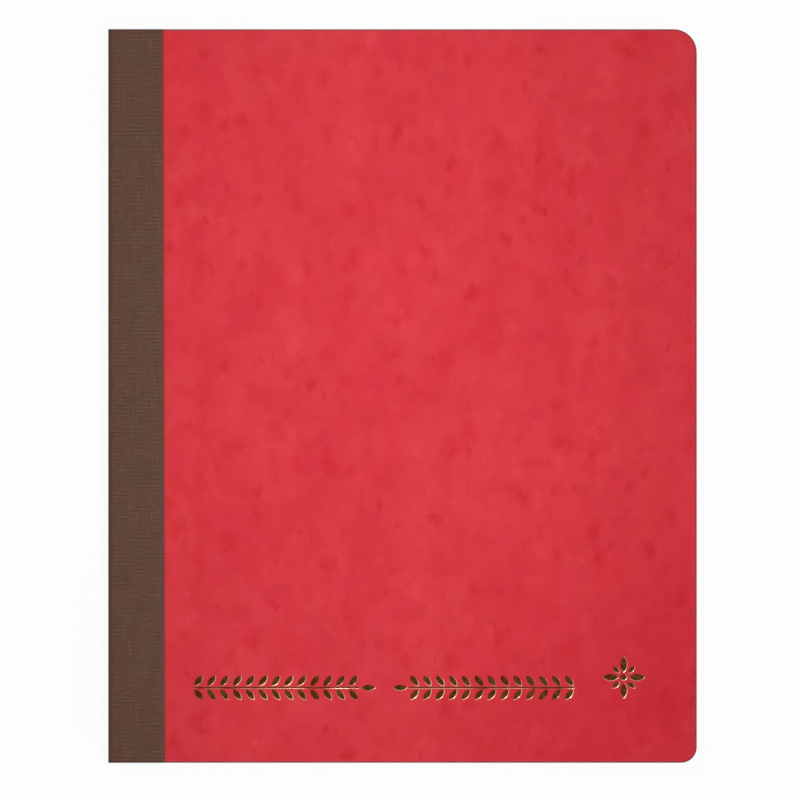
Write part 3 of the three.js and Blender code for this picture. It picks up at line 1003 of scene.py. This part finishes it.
def board_piece(side, shapes, material):
    low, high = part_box(f"{side}_board")
    inner_z, way = (low.z, 1) if side == "front" else (high.z, -1)
    seat_height = BOARD_THICKNESS - SEAT_DEPTH
    vertices = []
    faces = []
    profile = board_profile()
    count = len(board_outline(0.0))
    seated = {0, 1, count - 2, count - 1}
    for inset, height in profile:
        for index, (x, y) in enumerate(board_outline(inset)):
            level = min(height, seat_height) if index in seated else height
            vertices.append((x, y, inner_z + way * level))
    for ring in range(len(profile) - 1):
        for i in range(count):
            j = (i + 1) % count
            first = ring * count
            faces.append((first + i, first + j, first + count + j, first + count + i))
    faces.append(tuple(range(count)))

    top = (len(profile) - 1) * count
    plane = [Vector(vertices[top + i][:2]) for i in range(count)]
    indices = [top + i for i in range(count)]
    edges = [(i, (i + 1) % count) for i in range(count)]
    edges += [(1, count - 2), (2, count - 3)]
    face_z = inner_z + way * BOARD_THICKNESS
    recesses = []
    for outline, _ in shapes:
        rim = outline(0.0)
        first = len(plane)
        plane += rim
        indices += [len(vertices) + i for i in range(len(rim))]
        vertices += [(point.x, point.y, face_z) for point in rim]
        edges += [(first + i, first + (i + 1) % len(rim)) for i in range(len(rim))]
        recesses.append((indices[first:], outline))
    found = delaunay_2d_cdt([point * TRIANGLE_SCALE for point in plane], edges, [], 0, TRIANGLE_TOLERANCE)
    origins = [source[0] for source in found[3]]
    rims = [[tuple(plane[i]) for i in range(len(plane)) if indices[i] in set(rim)] for rim, _ in recesses]
    for triangle in found[2]:
        corners = [origins[i] for i in triangle]
        middle = sum((plane[i] for i in corners), Vector((0, 0))) / 3
        if not any(inside(middle, rim) for rim in rims):
            faces.append(tuple(indices[i] for i in corners))
    for rim, outline in recesses:
        first = len(vertices)
        vertices += [(point.x, point.y, face_z - way * RECESS_DEPTH) for point in outline(0.0)]
        for i in range(len(rim)):
            j = (i + 1) % len(rim)
            faces.append((rim[i], rim[j], first + j, first + i))
        faces.append(tuple(first + i for i in range(len(rim))))
    piece = new_piece(f"{side}_pressboard", vertices, faces, material)
    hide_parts(f"{side}_board")
    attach(piece, f"{side}_cover")
    return face_z


# Floor, lights and camera

def seen_directly(tree):
    """1 for what the camera, reflections and clear things see, and 0 for the light on surfaces."""
    paths = add(tree, "LightPath")
    seen = calc(tree, "MAXIMUM", paths.outputs["Is Camera Ray"], paths.outputs["Is Glossy Ray"])
    return calc(tree, "MAXIMUM", seen, paths.outputs["Is Transmission Ray"])


def make_world():
    world = bpy.data.worlds.new("studio_world")
    bpy.context.scene.world = world
    world.use_nodes = True
    tree = world.node_tree
    background = tree.nodes["Background"]
    background.inputs["Color"].default_value = (1, 1, 1, 1)
    tree.links.new(spread(tree, seen_directly(tree), WORLD_STRENGTH, 1.0), background.inputs["Strength"])


def make_floor():
    half = FLOOR_SIZE / 2
    corners = [(-half, -half, FLOOR_Z), (half, -half, FLOOR_Z), (half, half, FLOOR_Z), (-half, half, FLOOR_Z)]
    mesh = bpy.data.meshes.new("floor")
    mesh.from_pydata(corners, [], [(0, 1, 2, 3)])
    material = bpy.data.materials.new("pale_floor")
    material.use_nodes = True
    tree = material.node_tree
    tree.nodes.remove(tree.nodes["Principled BSDF"])
    matte = add(tree, "BsdfDiffuse", {"Color": (FLOOR_ALBEDO, FLOOR_ALBEDO, FLOOR_ALBEDO, 1)})
    white = add(tree, "Emission", {"Color": (1, 1, 1, 1), "Strength": 1.0})
    share = calc(tree, "MULTIPLY", seen_directly(tree), FLOOR_WHITENESS)
    both = add(tree, "MixShader", {0: share, 1: matte.outputs[0], 2: white.outputs[0]})
    tree.links.new(both.outputs[0], tree.nodes["Material Output"].inputs["Surface"])
    mesh.materials.append(material)
    floor = bpy.data.objects.new("floor", mesh)
    bpy.context.scene.collection.objects.link(floor)


def aim(thing, target):
    thing.rotation_mode = "QUATERNION"
    thing.rotation_quaternion = (Vector(target) - thing.location).to_track_quat("-Z", "Y")


def area_light(name, place, size, power):
    light = bpy.data.lights.new(name, "AREA")
    light.shape = "RECTANGLE"
    light.size, light.size_y = size
    light.energy = power
    lamp = bpy.data.objects.new(name, light)
    lamp.location = place
    lamp.visible_camera = False
    bpy.context.scene.collection.objects.link(lamp)
    return lamp


def make_lights():
    """A soft strip over the book, along it, a small lamp from the upper left that glints in the foil, and
    a far one that lights the trimmed edges."""
    overhead = area_light("overhead_light", OVERHEAD_PLACE, OVERHEAD_SIZE, OVERHEAD_POWER)
    overhead.visible_glossy = False
    key = area_light("key_light", KEY_PLACE, (KEY_SIZE, KEY_SIZE), KEY_POWER)
    aim(key, (0, 0, 0))
    fill = area_light("fill_light", FILL_PLACE, (FILL_SIZE, FILL_SIZE), FILL_POWER)
    fill.visible_glossy = False
    aim(fill, (0, 0, 0))


def make_camera():
    data = bpy.data.cameras.new("camera")
    data.lens = CAMERA_LENS
    data.sensor_width = CAMERA_SENSOR
    height = FRAME_WIDTH / CAMERA_SENSOR * CAMERA_LENS
    camera = bpy.data.objects.new("camera", data)
    camera.location = (*CAMERA_OFFSET, TOP_Z + height)
    data.clip_start = height / CAMERA_CLIP
    data.clip_end = height * CAMERA_CLIP
    bpy.context.scene.collection.objects.link(camera)
    bpy.context.scene.camera = camera


make_camera()
make_world()
make_floor()
make_lights()

pressboard = pressboard_material()
cloth = cloth_material()
foil = foil_material()

left_sprig, right_sprig = (sprig(*ends) for ends in SPRIGS)
front_face_z = board_piece("front", left_sprig + right_sprig + rosette(), pressboard)
board_piece("back", [], pressboard)
foil_piece("foil_sprig_left", left_sprig, front_face_z, foil)
foil_piece("foil_sprig_right", right_sprig, front_face_z, foil)
foil_piece("foil_rosette", rosette(), front_face_z, foil)
make_cloth(cloth)
make_endpapers()
make_leaves()
dress("spine_mull", gauze_material())
dress("sewing_thread", thread_material())

bpy.context.scene.view_settings.view_transform = "Standard"
